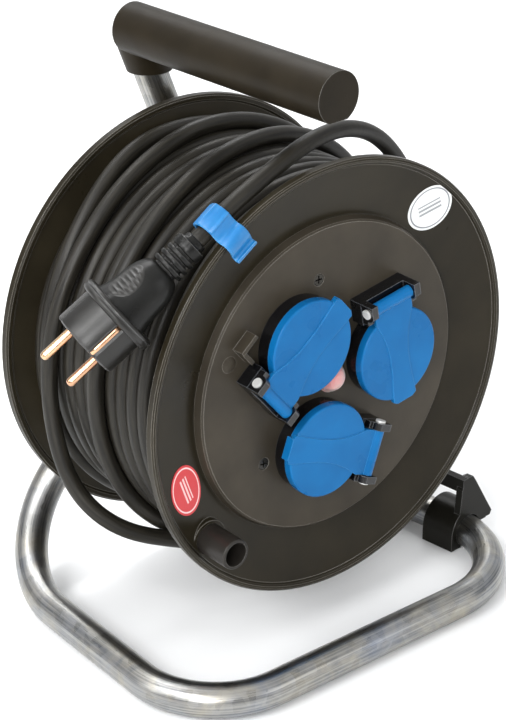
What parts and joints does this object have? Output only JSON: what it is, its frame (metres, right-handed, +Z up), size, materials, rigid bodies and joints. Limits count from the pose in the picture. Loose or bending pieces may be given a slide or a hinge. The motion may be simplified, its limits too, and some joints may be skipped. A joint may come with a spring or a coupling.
{
  "type": "extension cord reel",
  "caption": "Portable extension cord reel: a drum of black cable with lidded sockets in its front face, on a bent tube stand with a top grip.",
  "frame": {"origin": "on the floor, under the middle of the bounding box", "axes": "+Z up; the drum turns about a line parallel to Y; -Y is the socket side; +X is to the right seen from the socket side"},
  "size_m": [0.2934, 0.2223, 0.3171],
  "materials": {
    "frame_tube": "galvanised round tube",
    "handle_grip": "black moulded grip",
    "axle_saddle": "black moulding",
    "axle": "plated steel",
    "axle_rear_washer": "black moulding",
    "axle_nut": "zinc plated",
    "axle_clip": "spring steel",
    "thrust_washer": "plated steel",
    "cable_guide": "black moulding",
    "front_flange": "black moulding",
    "rear_flange": "black moulding",
    "winding_core": "black moulding",
    "socket_panel": "black moulding",
    "panel_gasket": "foam cord",
    "panel_screws": "dark plated",
    "core_screws": "dark plated",
    "hub_bush": "natural nylon",
    "socket_insert_1": "black",
    "socket_insert_2": "black",
    "socket_insert_3": "black",
    "socket_contacts": "bright brass",
    "earth_clips": "bright brass",
    "hinge_pins": "bright pins",
    "lid_springs": "spring wire",
    "thermal_cutout": "grey",
    "reset_dome": "milky soft cover",
    "terminal_block": "white",
    "inner_wires": "insulated wire",
    "cord_clamp": "black",
    "cable_pack": "black sheath",
    "cable_lead": "black sheath",
    "cable_slack": "black sheath",
    "plug_body": "dark grey",
    "plug_pins": "copper coloured",
    "plug_earth_strips": "copper coloured",
    "cable_clip": "light blue",
    "label_round": "white sticker",
    "label_oval": "red sticker",
    "lid_1": "bright blue",
    "lid_seal_1": "soft seal",
    "lid_2": "bright blue",
    "lid_seal_2": "soft seal",
    "lid_3": "bright blue",
    "lid_seal_3": "soft seal",
    "crank_knob": "black",
    "reset_button": "red"
  },
  "bodies": {
    "frame": {"frame_tube": "frame_tube", "handle_grip": "handle_grip", "axle_saddle": "axle_saddle", "axle": "axle", "axle_rear_washer": "axle_rear_washer", "axle_nut": "axle_nut", "axle_clip": "axle_clip", "thrust_washer": "thrust_washer", "cable_guide": "cable_guide"},
    "drum": {"front_flange": "front_flange", "rear_flange": "rear_flange", "winding_core": "winding_core", "socket_panel": "socket_panel", "panel_gasket": "panel_gasket", "panel_screws": "panel_screws", "core_screws": "core_screws", "hub_bush": "hub_bush", "socket_insert_1": "socket_insert_1", "socket_insert_2": "socket_insert_2", "socket_insert_3": "socket_insert_3", "socket_contacts": "socket_contacts", "earth_clips": "earth_clips", "hinge_pins": "hinge_pins", "lid_springs": "lid_springs", "thermal_cutout": "thermal_cutout", "reset_dome": "reset_dome", "terminal_block": "terminal_block", "inner_wires": "inner_wires", "cord_clamp": "cord_clamp", "cable_pack": "cable_pack", "cable_lead": "cable_lead", "cable_slack": "cable_slack", "plug_body": "plug_body", "plug_pins": "plug_pins", "plug_earth_strips": "plug_earth_strips", "cable_clip": "cable_clip", "label_round": "label_round", "label_oval": "label_oval"},
    "lid_1": {"lid_1": "lid_1", "lid_seal_1": "lid_seal_1"},
    "lid_2": {"lid_2": "lid_2", "lid_seal_2": "lid_seal_2"},
    "lid_3": {"lid_3": "lid_3", "lid_seal_3": "lid_seal_3"},
    "crank_knob": {"crank_knob": "crank_knob"},
    "reset_button": {"reset_button": "reset_button"}
  },
  "joints": [
    {"name": "drum_spin", "type": "hinge", "parent": "frame", "child": "drum", "pos_m": [0.01132, 0.00711, 0.1458], "axis": [0, -1, 0], "range_deg": [-38, 120]},
    {"name": "lid_1_hinge", "type": "hinge", "parent": "drum", "child": "lid_1", "pos_m": [0.04129, -0.06764, 0.18492], "axis": [-0.9833, 0, -0.1822], "range_deg": [0, 100]},
    {"name": "lid_2_hinge", "type": "hinge", "parent": "drum", "child": "lid_2", "pos_m": [-0.03754, -0.06764, 0.1522], "axis": [0.6494, 0, -0.7604], "range_deg": [0, 100]},
    {"name": "lid_3_hinge", "type": "hinge", "parent": "drum", "child": "lid_3", "pos_m": [0.03021, -0.06764, 0.10028], "axis": [0.3338, 0, 0.9426], "range_deg": [0, 100]},
    {"name": "knob_spin", "type": "hinge", "parent": "drum", "child": "crank_knob", "pos_m": [-0.07118, -0.06589, 0.0793], "axis": [0, -1, 0], "continuous": true},
    {"name": "reset_press", "type": "slide", "parent": "drum", "child": "reset_button", "axis": [0, 1, 0], "range_m": [0, 0.0015]}
  ]
}
